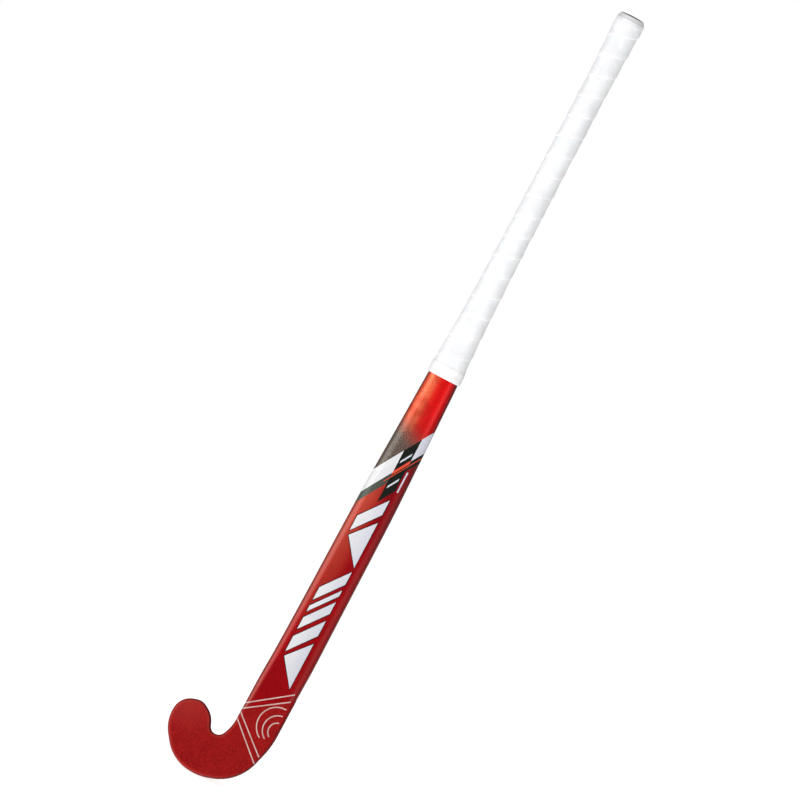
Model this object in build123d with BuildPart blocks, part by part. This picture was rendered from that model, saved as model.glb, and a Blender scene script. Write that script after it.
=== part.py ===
from build123d import *
import os
from math import cos, radians, sin

# A right-handed field hockey stick, 36.5 inches long, held upright by its handle.
# +Z runs up the handle's axis, the flat playing side faces -Y and the toe points to -X.
# The origin is on the handle's axis, in the middle of the grip. All sizes are in millimetres.
os.makedirs("parts", exist_ok=True)

# --- spine: a straight head run, one arc for the bow and a straight handle --------------
# A distance along the spine is counted from the foot of the head.
LENGTH = 928.7
GRIP_FOOT = 495.2
GRIP_TOP = 920.4
GRIP_CENTRE = (GRIP_FOOT + GRIP_TOP) / 2
BEND_FOOT = 110.0
BEND_TOP = 430.0
BOW_ANGLE = radians(7.5)
BEND_RADIUS = (BEND_TOP - BEND_FOOT) / BOW_ANGLE

# --- head: outline corners as (x, distance), each rounded by the radius beside it -------
HEAD_TOP = 115.0
HEAD_THICKNESS = 22.0
HEAD_FRONT_RADIUS = 4.0
HEAD_BACK_RADIUS = 10.0
TRIM = 20.0  # the head blank runs this far past its top before it is cut square
SHAFT_RIGHT = 22.5
SHAFT_LEFT = -24.2
HEAD_CORNERS = [
    ((SHAFT_RIGHT, 63.0), 93.0),
    ((8.7, 13.0), 52.0),
    ((-31.5, -0.9), 55.0),
    ((-64.0, 1.7), 43.0),
    ((-89.8, 35.5), 40.0),
    ((-87.8, 64.9), 20.5),
    ((-64.6, 72.3), 15.5),
    ((-49.9, 62.9), 24.0),
    ((-37.0, 34.0), 9.0),
    ((SHAFT_LEFT, 62.0), 45.0),
]

# --- shaft and handle stations: distance, width, centre x, thickness, front and back radii
STATIONS = [
    (HEAD_TOP, SHAFT_RIGHT - SHAFT_LEFT, -0.85, HEAD_THICKNESS, HEAD_FRONT_RADIUS, HEAD_BACK_RADIUS),
    (155.0, 46.2, -0.1, 22.8, 4.3, 10.7),
    (200.0, 45.2, 0.0, 23.7, 4.7, 11.5),
    (250.0, 44.5, 0.0, 24.5, 5.0, 12.3),
    (300.0, 43.9, 0.0, 25.1, 5.3, 12.9),
    (345.0, 42.6, 0.0, 25.6, 5.7, 13.2),
    (385.0, 40.5, 0.0, 26.0, 6.2, 13.3),
    (420.0, 38.2, 0.0, 26.2, 6.8, 13.2),
    (455.0, 36.2, 0.0, 26.4, 7.6, 13.0),
    (490.0, 34.2, 0.0, 26.5, 8.5, 12.7),
    (530.0, 31.0, 0.0, 26.5, 9.6, 12.4),
    (575.0, 28.0, 0.0, 26.5, 10.4, 12.1),
    (630.0, 26.0, 0.0, 26.5, 10.8, 11.9),
    (700.0, 24.8, 0.0, 26.5, 10.8, 11.7),
    (780.0, 24.4, 0.0, 26.5, 10.8, 11.6),
    (850.0, 24.9, 0.0, 26.6, 10.9, 11.8),
    (890.0, 26.7, 0.0, 27.3, 11.7, 12.5),
    (923.0, 28.2, 0.0, 28.2, 12.4, 13.1),
]

# --- walls, layers and glue lines -------------------------------------------------------
WALL = 2.6
GLUE = 0.1
RIB_HALF = 1.0
SHELL_TOP = 916.7
CORE_FOOT = 108.0
CORE_TOP = 560.0
DAMPER_FOOT = 610.0
DAMPER_TOP = 770.0
DAMPER_WALL = 2.2
PLUG_FOOT = 830.0
PLUG_TOP = 909.7

# How far the inner and outer face of each outer layer stand off the laminate.
FILM = (0.05, 0.30)
OVER_FILM = (0.35, 0.55)
UNDERWRAP = (0.05, 0.75)
GRIP_TAPE = (0.80, 1.65)
FINISHING_TAPE = (1.70, 1.95)
UNDERWRAP_FOOT = GRIP_FOOT + 2
UNDERWRAP_TOP = SHELL_TOP - 1
FINISHING_WIDTH = 14.0

# --- end cap ----------------------------------------------------------------------------
SPIGOT_RADIUS = 7.0
SPIGOT_FIT = 0.1
SPIGOT_FOOT = 883.7
FLANGE_FOOT = SHELL_TOP + 0.1
FLANGE_RADIUS = 14.0
SHOULDER_FOOT = GRIP_TOP + 0.2
SHOULDER_RADIUS = 15.7
SHOULDER_BREAK = 922.7
CAP_TOP = 927.1
CAP_TOP_RADIUS = 13.6
RECESS_FLOOR = 925.7
DISC_RADIUS = 12.9
DISC_FIT = 0.1
DISC_RIM = 0.6

# --- painted graphics, as (x, height above the foot) seen square on from the front ---------
SLANT = 1.64  # rise per millimetre across of every band above the blocks
FILM_GAP = 0.3
PANEL_FOOT = 406.9
BAND_FOOT = 380.6
DARK_FOOT = 368.0
COLUMN_FOOT = 344.8
COLUMN_LEFT = -0.3
COLUMN_RIGHT = 11.2
LINE_MIDDLE = 374.4
LINE_WIDTH = 1.4
LINE_LEFT = -4.5
ACCENT = (377.0, 382.0)  # plain orange bar across the black column, over the thin line
TICKS = [(359.0, 362.2), (389.0, 392.2)]  # plain light bars on the black column
TICK_INSET = 2.0
SIDE_LINE = [(13.2, 363.0), (14.8, 363.0), (14.8, 387.0), (13.2, 387.0)]
PAST_EDGE = 30.0  # bands run this far each side of the middle, past both edges of the shaft

BLOCK_LEFT = -12.2
BLOCK_RIGHT = 10.9
BLOCK_RISE = 30.0  # how much higher a bar's right end stands than its left end
BARS = [(159.5, 177.5), (186.0, 200.0), (207.0, 214.0), (221.0, 236.0), (304.5, 322.0)]
FINS = [126.0, 271.0]
FIN_HEIGHT = 54.0
FIN_POINT = 28.5
FIN_INSET = 1.5
KEYLINE = (0.95, 0.25)  # how far its outer and inner edges stand off the block

STRIPE_WIDTH = 1.3
STRIPE_FIT = 0.1
STRIPES = [
    ((-26.0, 89.9), (18.8, 123.2)),
    ((-26.0, 83.4), (18.6, 114.5)),
    ((-26.0, 82.8), (16.4, 47.5)),
    ((-26.0, 75.4), (15.3, 39.1)),
]
ARCS = [
    ((18.4, 105.0), (-3.4, 83.0), (7.0, 66.0)),
    ((18.4, 97.0), (4.6, 82.5), (12.4, 67.5)),
    ((18.2, 89.0), (11.2, 81.0), (15.6, 71.5)),
]
COATING_EDGE = ((-30.0, 80.6), (26.0, 119.7))

# --- reach of the cutting shapes, well past every surface of the stick ------------------------
REACH = 80.0
SIDE_REACH = 110.0
FOOT_REACH = 20.0


def spine_plane(distance):
    """Plane square to the spine at a distance above the foot; its y axis points to the back."""
    angle = min(max(BEND_TOP - distance, 0.0) / BEND_RADIUS, BOW_ANGLE)
    straight = max(BEND_FOOT - distance, 0.0)
    y = -BEND_RADIUS * (1 - cos(angle)) - straight * sin(angle)
    z = BEND_TOP - BEND_RADIUS * sin(angle) - straight * cos(angle) + max(distance - BEND_TOP, 0.0)
    return Plane(origin=(0, y, z - GRIP_CENTRE), x_dir=(1, 0, 0), z_dir=(0, sin(angle), cos(angle)))


FOOT = spine_plane(0.0)
HEAD_PLANE = Plane(origin=FOOT.origin, x_dir=(1, 0, 0), z_dir=-FOOT.y_dir)
FRONT_VIEW = Plane(origin=(0, 0, FOOT.origin.Z), x_dir=(1, 0, 0), z_dir=(0, -1, 0))


def add_head(body, grow):
    """Start a body with the hooked head, square-cut at its top, with every face moved out by grow."""
    start, end = (SHAFT_RIGHT, HEAD_TOP + TRIM), (SHAFT_LEFT, HEAD_TOP + TRIM)
    with BuildSketch(HEAD_PLANE) as outline:
        with BuildLine():
            corners = [corner for corner, _ in HEAD_CORNERS]
            FilletPolyline(start, *corners, end, radius=[radius for _, radius in HEAD_CORNERS])
            Line(end, start)
        make_face()
        if grow:
            offset(amount=grow)
    extrude(outline.sketch, amount=HEAD_THICKNESS / 2 + grow, both=True)
    across = Axis(HEAD_PLANE.origin, HEAD_PLANE.z_dir)
    along = Axis(HEAD_PLANE.origin, HEAD_PLANE.y_dir)
    front = body.faces().sort_by(across)[-1]
    fillet(front.edges().sort_by(along)[:-1], HEAD_FRONT_RADIUS + grow)
    back = body.faces().sort_by(across)[0]
    fillet(back.edges().sort_by(along)[:-1], HEAD_BACK_RADIUS + grow)
    split(bisect_by=spine_plane(HEAD_TOP), keep=Keep.BOTTOM)


def add_shaft(grow, stations=STATIONS):
    """Shaft and handle as one loft through the stations, with every face moved out by grow."""
    sections = []
    for distance, width, centre_x, thickness, front_radius, back_radius in stations:
        with BuildSketch(spine_plane(distance)) as section:
            with Locations((centre_x, 0)):
                Rectangle(width + 2 * grow, thickness + 2 * grow)
            fillet(section.vertices().group_by(Axis.Y)[0], front_radius + grow)
            fillet(section.vertices().group_by(Axis.Y)[-1], back_radius + grow)
        sections.append(section.sketch)
    loft(sections)


def stick_volume(grow):
    """The whole stick as one solid, with every face moved out by grow."""
    with BuildPart() as volume:
        add_head(volume, grow)
        add_shaft(grow)
    return volume.part


def keep_above(distance):
    """Cut away what lies below a distance along the spine."""
    split(bisect_by=spine_plane(distance), keep=Keep.TOP)


def keep_below(distance):
    """Cut away what lies above a distance along the spine."""
    split(bisect_by=spine_plane(distance), keep=Keep.BOTTOM)


def layer(faces):
    """The thin skin between two offsets from the laminate."""
    inner, outer = faces
    with BuildPart() as skin:
        add(stick_volume(outer))
        add(stick_volume(inner), mode=Mode.SUBTRACT)
    return skin.part


def band(low, high, left=-PAST_EDGE, right=PAST_EDGE):
    """Corners of a slanted band between two heights at the middle of the shaft."""
    at_left, at_right = SLANT * left, SLANT * right
    return [(left, low + at_left), (right, low + at_right), (right, high + at_right), (left, high + at_left)]


def bar(low, high):
    """Corners of a slanted bar between two heights at the left edge of the blocks."""
    right_low, right_high = low + BLOCK_RISE, high + BLOCK_RISE
    return [(BLOCK_LEFT, low), (BLOCK_RIGHT, right_low), (BLOCK_RIGHT, right_high), (BLOCK_LEFT, high)]


def fin(low):
    """Corners of a triangle that points to the left edge of the blocks."""
    return [(BLOCK_RIGHT, low), (BLOCK_RIGHT, low + FIN_HEIGHT), (BLOCK_LEFT + FIN_INSET, low + FIN_POINT)]


def traced(paths, width):
    """A sketch of lines of one width; a path has two ends, or three points of an arc."""
    with BuildSketch(FRONT_VIEW) as lines:
        for points in paths:
            curve = Line if len(points) == 2 else ThreePointArc
            with BuildLine() as path:
                curve(*points)
            trace(path.line, width)
    return lines.sketch


def cut_to(polygons):
    """Keep only what stands behind the polygons, seen from the front."""
    with BuildSketch(FRONT_VIEW) as mask:
        for corners in polygons:
            Polygon(*corners, align=None)
    extrude(mask.sketch, amount=REACH, both=True, mode=Mode.INTERSECT)


# --- reference volumes, cut down below into the pieces ------------------------------------
outer_volume = stick_volume(0)
cavity_volume = stick_volume(-WALL)
core_volume = stick_volume(-WALL - GLUE)
film_layer = layer(FILM)

with BuildPart() as front_half:
    distances = (-FOOT_REACH, BEND_FOOT, (BEND_FOOT + BEND_TOP) / 2, BEND_TOP, LENGTH)
    points = [spine_plane(distance).origin for distance in distances]
    low_end, bend_foot, bend_middle, bend_top, high_end = [(point.Y, point.Z) for point in points]
    with BuildSketch(Plane.YZ):
        with BuildLine():
            Line(low_end, bend_foot)
            ThreePointArc(bend_foot, bend_middle, bend_top)
            Line(bend_top, high_end)
            Polyline(high_end, (-REACH, high_end[1]), (-REACH, low_end[1]), low_end)
        make_face()
    extrude(amount=SIDE_REACH, both=True)

# --- structure --------------------------------------------------------------------------
with BuildPart() as laminate_shell:
    add(outer_volume)
    add(cavity_volume, mode=Mode.SUBTRACT)
    keep_below(SHELL_TOP)
laminate_shell.part.label = "laminate_shell"

with BuildPart() as head_core:
    add(core_volume)
    keep_below(CORE_FOOT)
head_core.part.label = "head_core"

with BuildPart() as bridge_rib:
    add(core_volume)
    keep_above(CORE_FOOT + GLUE)
    keep_below(CORE_TOP)
    split(bisect_by=Plane.YZ.offset(-RIB_HALF), keep=Keep.TOP)
    split(bisect_by=Plane.YZ.offset(RIB_HALF), keep=Keep.BOTTOM)
bridge_rib.part.label = "bridge_rib"

with BuildPart() as toe_side_core:
    add(core_volume)
    keep_above(CORE_FOOT + GLUE)
    keep_below(CORE_TOP)
    split(bisect_by=Plane.YZ.offset(-RIB_HALF - GLUE), keep=Keep.BOTTOM)
toe_side_core.part.label = "toe_side_core"

with BuildPart() as heel_side_core:
    add(core_volume)
    keep_above(CORE_FOOT + GLUE)
    keep_below(CORE_TOP)
    split(bisect_by=Plane.YZ.offset(RIB_HALF + GLUE), keep=Keep.TOP)
heel_side_core.part.label = "heel_side_core"

with BuildPart() as damper_bore:
    add_shaft(-WALL - GLUE - DAMPER_WALL, [row for row in STATIONS if row[0] > BEND_TOP])

with BuildPart() as damper_sleeve:
    add(core_volume)
    add(damper_bore.part, mode=Mode.SUBTRACT)
    keep_above(DAMPER_FOOT)
    keep_below(DAMPER_TOP)
damper_sleeve.part.label = "damper_sleeve"

with BuildPart() as butt_plug:
    add(core_volume)
    keep_above(PLUG_FOOT)
    keep_below(PLUG_TOP)
    with BuildSketch(spine_plane(PLUG_TOP)):
        Circle(SPIGOT_RADIUS + SPIGOT_FIT)
    extrude(amount=-(PLUG_TOP - SPIGOT_FOOT + 1), mode=Mode.SUBTRACT)
butt_plug.part.label = "butt_plug"

# --- butt end and grip --------------------------------------------------------------------
with BuildPart() as end_cap:
    with BuildSketch(Plane.XZ):
        with BuildLine():
            profile = [
                (0, SPIGOT_FOOT),
                (SPIGOT_RADIUS, SPIGOT_FOOT),
                (SPIGOT_RADIUS, FLANGE_FOOT),
                (FLANGE_RADIUS, FLANGE_FOOT),
                (FLANGE_RADIUS, SHOULDER_FOOT),
                (SHOULDER_RADIUS, SHOULDER_FOOT),
                (SHOULDER_RADIUS, SHOULDER_BREAK),
                (CAP_TOP_RADIUS, CAP_TOP),
                (DISC_RADIUS + DISC_FIT, CAP_TOP),
                (DISC_RADIUS + DISC_FIT, RECESS_FLOOR),
                (0, RECESS_FLOOR),
            ]
            Polyline(*[(radius, height - GRIP_CENTRE) for radius, height in profile], close=True)
        make_face()
    revolve(axis=Axis.Z)
end_cap.part.label = "end_cap"

with BuildPart() as cap_disc:
    with BuildSketch(spine_plane(RECESS_FLOOR + GLUE)):
        Circle(DISC_RADIUS)
    extrude(amount=LENGTH - RECESS_FLOOR - GLUE)
    fillet(cap_disc.faces().sort_by(Axis.Z)[-1].edges(), DISC_RIM)
cap_disc.part.label = "cap_disc"

with BuildPart() as grip_underwrap:
    add(layer(UNDERWRAP))
    keep_above(UNDERWRAP_FOOT)
    keep_below(UNDERWRAP_TOP)
grip_underwrap.part.label = "grip_underwrap"

with BuildPart() as grip_tape:
    add(layer(GRIP_TAPE))
    keep_above(GRIP_FOOT)
    keep_below(GRIP_TOP)
grip_tape.part.label = "grip_tape"

with BuildPart() as finishing_tape:
    add(layer(FINISHING_TAPE))
    keep_above(GRIP_FOOT)
    keep_below(GRIP_FOOT + FINISHING_WIDTH)
finishing_tape.part.label = "finishing_tape"

# --- paint films that wrap right round the shaft ---------------------------------------------
LINE_LOW = LINE_MIDDLE - LINE_WIDTH / 2
LINE_HIGH = LINE_MIDDLE + LINE_WIDTH / 2
LEFT_OF_COLUMN = {"right": COLUMN_LEFT - FILM_GAP}
RIGHT_OF_COLUMN = {"left": COLUMN_RIGHT + FILM_GAP}
COLUMN = {"left": COLUMN_LEFT, "right": COLUMN_RIGHT}

with BuildPart() as upper_panel_film:
    add(film_layer)
    keep_below(GRIP_FOOT - FILM_GAP)
    cut_to([band(PANEL_FOOT, LENGTH)])
upper_panel_film.part.label = "upper_panel_film"

with BuildPart() as white_band_films:
    add(film_layer)
    ends = (BAND_FOOT, PANEL_FOOT - FILM_GAP)
    cut_to([band(*ends, **LEFT_OF_COLUMN), band(*ends, **RIGHT_OF_COLUMN)])
white_band_films.part.label = "white_band_films"

with BuildPart() as dark_band_films:
    add(film_layer)
    lower = (DARK_FOOT, LINE_LOW - FILM_GAP)
    upper = (LINE_HIGH + FILM_GAP, BAND_FOOT - FILM_GAP)
    line_end = LINE_LEFT - FILM_GAP
    full_height = band(DARK_FOOT, BAND_FOOT - FILM_GAP, right=line_end)
    to_column = [band(*ends, left=line_end, **LEFT_OF_COLUMN) for ends in (lower, upper)]
    past_column = [band(*ends, **RIGHT_OF_COLUMN) for ends in (lower, upper)]
    cut_to([full_height, *to_column, *past_column])
dark_band_films.part.label = "dark_band_films"

with BuildPart() as black_column_films:
    add(film_layer)
    lower = (COLUMN_FOOT, LINE_LOW - FILM_GAP)
    upper = (LINE_HIGH + FILM_GAP, PANEL_FOOT - FILM_GAP)
    cut_to([band(*lower, **COLUMN), band(*upper, **COLUMN)])
black_column_films.part.label = "black_column_films"

with BuildPart() as orange_line_film:
    add(film_layer)
    cut_to([band(LINE_LOW, LINE_HIGH, left=LINE_LEFT)])
orange_line_film.part.label = "orange_line_film"

with BuildPart() as line_slots:
    add(front_half.part)
    slot_width = STRIPE_WIDTH + 2 * STRIPE_FIT
    extrude(traced(STRIPES + ARCS, slot_width), amount=REACH, both=True, mode=Mode.INTERSECT)

with BuildPart() as head_coating:
    add(film_layer)
    edge_left, edge_right = COATING_EDGE
    below = [(edge_right[0], -FOOT_REACH), (-SIDE_REACH, -FOOT_REACH), (-SIDE_REACH, edge_left[1])]
    cut_to([[edge_left, edge_right, *below]])
    add(line_slots.part, mode=Mode.SUBTRACT)
head_coating.part.label = "head_coating"

# --- decals on the flat front only ----------------------------------------------------------
with BuildPart() as front_film:
    add(film_layer)
    add(front_half.part, mode=Mode.INTERSECT)

block_outlines = [bar(low, high) for low, high in BARS] + [fin(low) for low in FINS]

with BuildPart() as block_decals:
    add(front_film.part)
    cut_to(block_outlines)
block_decals.part.label = "block_decals"

with BuildPart() as block_keylines:
    add(front_film.part)
    with BuildSketch(FRONT_VIEW) as rings:
        for corners in block_outlines:
            with BuildSketch(mode=Mode.PRIVATE) as block:
                Polygon(*corners, align=None)
            for amount, mode in zip(KEYLINE, (Mode.ADD, Mode.SUBTRACT)):
                edge = offset(block.sketch, amount=amount, kind=Kind.INTERSECTION, mode=Mode.PRIVATE)
                add(edge, mode=mode)
    extrude(rings.sketch, amount=REACH, both=True, mode=Mode.INTERSECT)
block_keylines.part.label = "block_keylines"

with BuildPart() as pinstripe_decals:
    add(front_film.part)
    extrude(traced(STRIPES, STRIPE_WIDTH), amount=REACH, both=True, mode=Mode.INTERSECT)
pinstripe_decals.part.label = "pinstripe_decals"

with BuildPart() as arc_decals:
    add(front_film.part)
    extrude(traced(ARCS, STRIPE_WIDTH), amount=REACH, both=True, mode=Mode.INTERSECT)
arc_decals.part.label = "arc_decals"

with BuildPart() as side_line_decal:
    add(front_film.part)
    cut_to([SIDE_LINE])
side_line_decal.part.label = "side_line_decal"

# --- accents laid over the black column's film ------------------------------------------------
with BuildPart() as front_over_film:
    add(layer(OVER_FILM))
    add(front_half.part, mode=Mode.INTERSECT)

with BuildPart() as orange_bar_decal:
    add(front_over_film.part)
    cut_to([band(*ACCENT, **COLUMN)])
orange_bar_decal.part.label = "orange_bar_decal"

with BuildPart() as column_tick_decals:
    add(front_over_film.part)
    sides = {"left": COLUMN_LEFT + TICK_INSET, "right": COLUMN_RIGHT - TICK_INSET}
    cut_to([band(*ends, **sides) for ends in TICKS])
column_tick_decals.part.label = "column_tick_decals"

for piece in (
    laminate_shell, head_core, bridge_rib, toe_side_core, heel_side_core, damper_sleeve, butt_plug,
    end_cap, cap_disc, grip_underwrap, grip_tape, finishing_tape,
    upper_panel_film, white_band_films, dark_band_films, black_column_films, orange_line_film,
    head_coating, block_decals, block_keylines, pinstripe_decals, arc_decals,
    side_line_decal, orange_bar_decal, column_tick_decals,
):
    export_step(piece.part, f"parts/{piece.part.label}.step")
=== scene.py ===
from functools import lru_cache
from math import atan2, ceil, cos, hypot, pi, radians, sin, sqrt, tan

import bmesh
import bpy
from mathutils import Matrix, Vector, noise


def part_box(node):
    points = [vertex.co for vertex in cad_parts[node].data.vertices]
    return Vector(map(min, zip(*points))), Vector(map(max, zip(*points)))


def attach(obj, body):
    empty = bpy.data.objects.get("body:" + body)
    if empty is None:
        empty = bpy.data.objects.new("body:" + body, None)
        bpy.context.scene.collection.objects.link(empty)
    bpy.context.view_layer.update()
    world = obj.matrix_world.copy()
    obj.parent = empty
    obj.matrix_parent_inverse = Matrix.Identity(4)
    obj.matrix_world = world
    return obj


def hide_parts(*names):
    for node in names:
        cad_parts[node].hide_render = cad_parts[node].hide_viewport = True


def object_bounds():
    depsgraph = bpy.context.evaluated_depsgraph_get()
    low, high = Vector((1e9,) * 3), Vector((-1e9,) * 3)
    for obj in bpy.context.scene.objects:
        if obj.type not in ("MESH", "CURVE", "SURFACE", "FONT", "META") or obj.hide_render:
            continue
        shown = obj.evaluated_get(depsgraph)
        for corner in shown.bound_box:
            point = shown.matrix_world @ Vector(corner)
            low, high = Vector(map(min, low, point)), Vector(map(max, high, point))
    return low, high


# Looks for a field hockey stick, worked out in millimetres: origin on the handle's axis in the
# middle of the grip, +Z up the handle, flat side facing -Y, toe at -X.
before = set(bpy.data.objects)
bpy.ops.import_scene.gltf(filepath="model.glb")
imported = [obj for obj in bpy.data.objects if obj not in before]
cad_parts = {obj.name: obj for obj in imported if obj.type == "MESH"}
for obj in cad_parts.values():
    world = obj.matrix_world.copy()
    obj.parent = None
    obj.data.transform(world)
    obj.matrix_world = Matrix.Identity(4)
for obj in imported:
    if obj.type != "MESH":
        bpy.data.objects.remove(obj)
cad_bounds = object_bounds()
MM = 0.001

# --- the stick's driving dimensions, the same as in the CAD source ---
LENGTH = 928.7
GRIP_FOOT = 495.2
GRIP_TOP = 920.4
GRIP_CENTRE = (GRIP_FOOT + GRIP_TOP) / 2
BEND_FOOT = 110.0
BEND_TOP = 430.0
BOW_ANGLE = radians(7.5)
BEND_RADIUS = (BEND_TOP - BEND_FOOT) / BOW_ANGLE
HEAD_TOP = 115.0
SHAFT_RIGHT = 22.5
SHAFT_LEFT = -24.2
HEAD_CORNERS = [
    ((SHAFT_RIGHT, 63.0), 93.0),
    ((8.7, 13.0), 52.0),
    ((-31.5, -0.9), 55.0),
    ((-64.0, 1.7), 43.0),
    ((-89.8, 35.5), 40.0),
    ((-87.8, 64.9), 20.5),
    ((-64.6, 72.3), 15.5),
    ((-49.9, 62.9), 24.0),
    ((-37.0, 34.0), 9.0),
    ((SHAFT_LEFT, 62.0), 45.0),
]
# distance above the foot, width, centre x, thickness, front and back rounding
STATIONS = [
    (HEAD_TOP, SHAFT_RIGHT - SHAFT_LEFT, -0.85, 22.0, 4.0, 10.0),
    (155.0, 46.2, -0.1, 22.8, 4.3, 10.7),
    (200.0, 45.2, 0.0, 23.7, 4.7, 11.5),
    (250.0, 44.5, 0.0, 24.5, 5.0, 12.3),
    (300.0, 43.9, 0.0, 25.1, 5.3, 12.9),
    (345.0, 42.6, 0.0, 25.6, 5.7, 13.2),
    (385.0, 40.5, 0.0, 26.0, 6.2, 13.3),
    (420.0, 38.2, 0.0, 26.2, 6.8, 13.2),
    (455.0, 36.2, 0.0, 26.4, 7.6, 13.0),
    (490.0, 34.2, 0.0, 26.5, 8.5, 12.7),
    (530.0, 31.0, 0.0, 26.5, 9.6, 12.4),
    (575.0, 28.0, 0.0, 26.5, 10.4, 12.1),
    (630.0, 26.0, 0.0, 26.5, 10.8, 11.9),
    (700.0, 24.8, 0.0, 26.5, 10.8, 11.7),
    (780.0, 24.4, 0.0, 26.5, 10.8, 11.6),
    (850.0, 24.9, 0.0, 26.6, 10.9, 11.8),
    (890.0, 26.7, 0.0, 27.3, 11.7, 12.5),
    (923.0, 28.2, 0.0, 28.2, 12.4, 13.1),
]
WALL = 2.6
SHELL_TOP = 916.7

# --- painted graphics, as (x, height above the foot) seen square on from the front ---
SLANT = 1.64
FILM_GAP = 0.06
PANEL_FOOT = 406.9
PANEL_TOP = 500.0
BAND_FOOT = 380.6
DARK_FOOT = 368.0
COLUMN_FOOT = 344.8
COLUMN_LEFT = -0.3
COLUMN_RIGHT = 11.2
LINE_LOW = 373.7
LINE_HIGH = 375.1
LINE_LEFT = -4.5
ACCENT = (377.0, 382.0)
TICKS = [(359.0, 362.2), (389.0, 392.2)]
TICK_INSET = 2.0
SIDE_LINE = [(13.2, 363.0), (14.8, 363.0), (14.8, 387.0), (13.2, 387.0)]
BLOCK_LEFT = -12.2
BLOCK_RIGHT = 10.9
BLOCK_RISE = 30.0
BARS = [(159.5, 177.5), (186.0, 200.0), (207.0, 214.0), (221.0, 236.0), (304.5, 322.0)]
FINS = [126.0, 271.0]
FIN_HEIGHT = 54.0
FIN_POINT = 28.5
FIN_INSET = 1.5
FIN_BLUNT = 0.2
KEYLINE = 0.9
STRIPE_WIDTH = 1.3
STRIPES = [
    ((-24.1, 91.3), (18.8, 123.2)),
    ((-24.1, 84.7), (18.6, 114.5)),
    ((-24.1, 81.2), (16.4, 47.5)),
    ((-24.0, 73.6), (15.3, 39.1)),
]
ARCS = [
    ((18.4, 105.0), (-3.4, 83.0), (7.0, 66.0)),
    ((18.4, 97.0), (4.6, 82.5), (12.4, 67.5)),
    ((18.2, 89.0), (11.2, 81.0), (15.6, 71.5)),
]
COATING_EDGE = ((-30.0, 80.6), (26.0, 119.7))
COATING_BLANK_TOP = 150.0  # before it is cut along its edge
# How far each layer stands off the laminate, and how thick it is down to its buried inner face.
COATING_LIFT = 0.12
COATING_DEPTH = 0.3
FILM_LIFT = 0.14
FILM_DEPTH = 0.22
DECAL_LIFT = 0.22
DECAL_DEPTH = 0.27
KEYLINE_LIFT = 0.19
ACCENT_LIFT = 0.32

# --- the wound grip ---
GRIP_PITCH = 24.0
GRIP_SIDES = 112
TURN_ROWS = 24
TAPE_BASE = 1.22
LAP_RISE = 0.42
BELLY_RISE = 0.16
CREASE_RISE = 0.38
FINE_CREASE_RISE = 0.09
FOOT_SWELL = 0.55
TOP_SWELL = 0.3
GRIP_OVERRUN = 8  # past each end, before it is cut level
LINING_LIFT = 0.8
LINING_SPACING = 12.0
LINING_MARGIN = 0.3
GRIP_RIMS = [(0.25, 0.12), (0.9, 0.0)]  # how far each step of the rim sinks in and rises

# --- finishing band, end cap and disc, as (radius, distance above the foot) ---
BAND_ENDS = (GRIP_FOOT + 0.4, GRIP_FOOT + 14)
BAND_LIFT = 2.0
BAND_DEPTH = 0.3
CAP_SIDES = 144
CAP_PROFILE = [
    (0, 883.7), (7.0, 883.7), (7.0, 916.8),  # spigot
    (14.0, 916.8), (14.0, 920.6), (15.5, 920.6), (15.75, 920.9), (15.75, 922.4),  # flange, shoulder
    (15.5, 922.9), (13.9, 926.6), (13.5, 927.1), (13.1, 927.1), (13.0, 926.9),  # chamfer, lip
    (13.0, 925.7), (0, 925.7),  # recess
]
RIBBED_ROWS = (7, 8)  # rows of the chamfer that carry the fine ribs
RIB_DEPTH = 0.22
DISC_SIDES = 96
DISC_RIM = [(0, 925.8), (12.9, 925.8), (12.9, 927.4), (12.6, 927.7)]
DISC_DOME = 0.95
DISC_GROOVES = [11.9, 9.9, 7.9, 5.9, 3.9, 1.9]


# --- curves and sections ---
def smoothstep(low, high, value):
    """0 below low, 1 above high and eased between them."""
    share = min(max((value - low) / (high - low), 0.0), 1.0)
    return share * share * (3 - 2 * share)


@lru_cache(maxsize=None)
def spine(distance):
    """Y, Z and forward lean of the spine at a distance above the foot."""
    lean = min(max(BEND_TOP - distance, 0.0) / BEND_RADIUS, BOW_ANGLE)
    straight = max(BEND_FOOT - distance, 0.0)
    y = -BEND_RADIUS * (1 - cos(lean)) - straight * sin(lean)
    z = BEND_TOP - BEND_RADIUS * sin(lean) - straight * cos(lean) + max(distance - BEND_TOP, 0.0)
    return y, z - GRIP_CENTRE, lean


FOOT_HEIGHT = spine(0.0)[1]
FOOT_Z = FOOT_HEIGHT * MM


def place(x, back, distance):
    """A point at x across, so far behind the spine, at a distance above the foot."""
    y, z, lean = spine(distance)
    return Vector((x, y + back * cos(lean), z - back * sin(lean)))


def height(point):
    """Height of a point above the foot."""
    return point.z - FOOT_HEIGHT


def station_slope(index, column):
    """How fast a station value changes along the spine; nothing at both ends."""
    if index in (0, len(STATIONS) - 1):
        return 0.0
    before, after = STATIONS[index - 1], STATIONS[index + 1]
    return (after[column] - before[column]) / (after[0] - before[0])


@lru_cache(maxsize=None)
def section(distance):
    """Width, centre x, thickness, front and back rounding, eased between the stations."""
    distance = min(max(distance, STATIONS[0][0]), STATIONS[-1][0])
    index = max(i for i, row in enumerate(STATIONS[:-1]) if row[0] <= distance)
    low, high = STATIONS[index], STATIONS[index + 1]
    span = high[0] - low[0]
    t = (distance - low[0]) / span
    return tuple(
        low[c] * (2 * t**3 - 3 * t**2 + 1) + high[c] * (3 * t**2 - 2 * t**3)
        + span * station_slope(index, c) * (t**3 - 2 * t**2 + t)
        + span * station_slope(index + 1, c) * (t**3 - t**2)
        for c in range(1, 6)
    )


def front_reach(distance):
    """How far in from the edge the rounding of the front face runs."""
    soft = smoothstep(85, 140, distance) * (1 - smoothstep(440, 520, distance))
    return section(distance)[3] + 0.5 + 4.2 * soft


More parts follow.
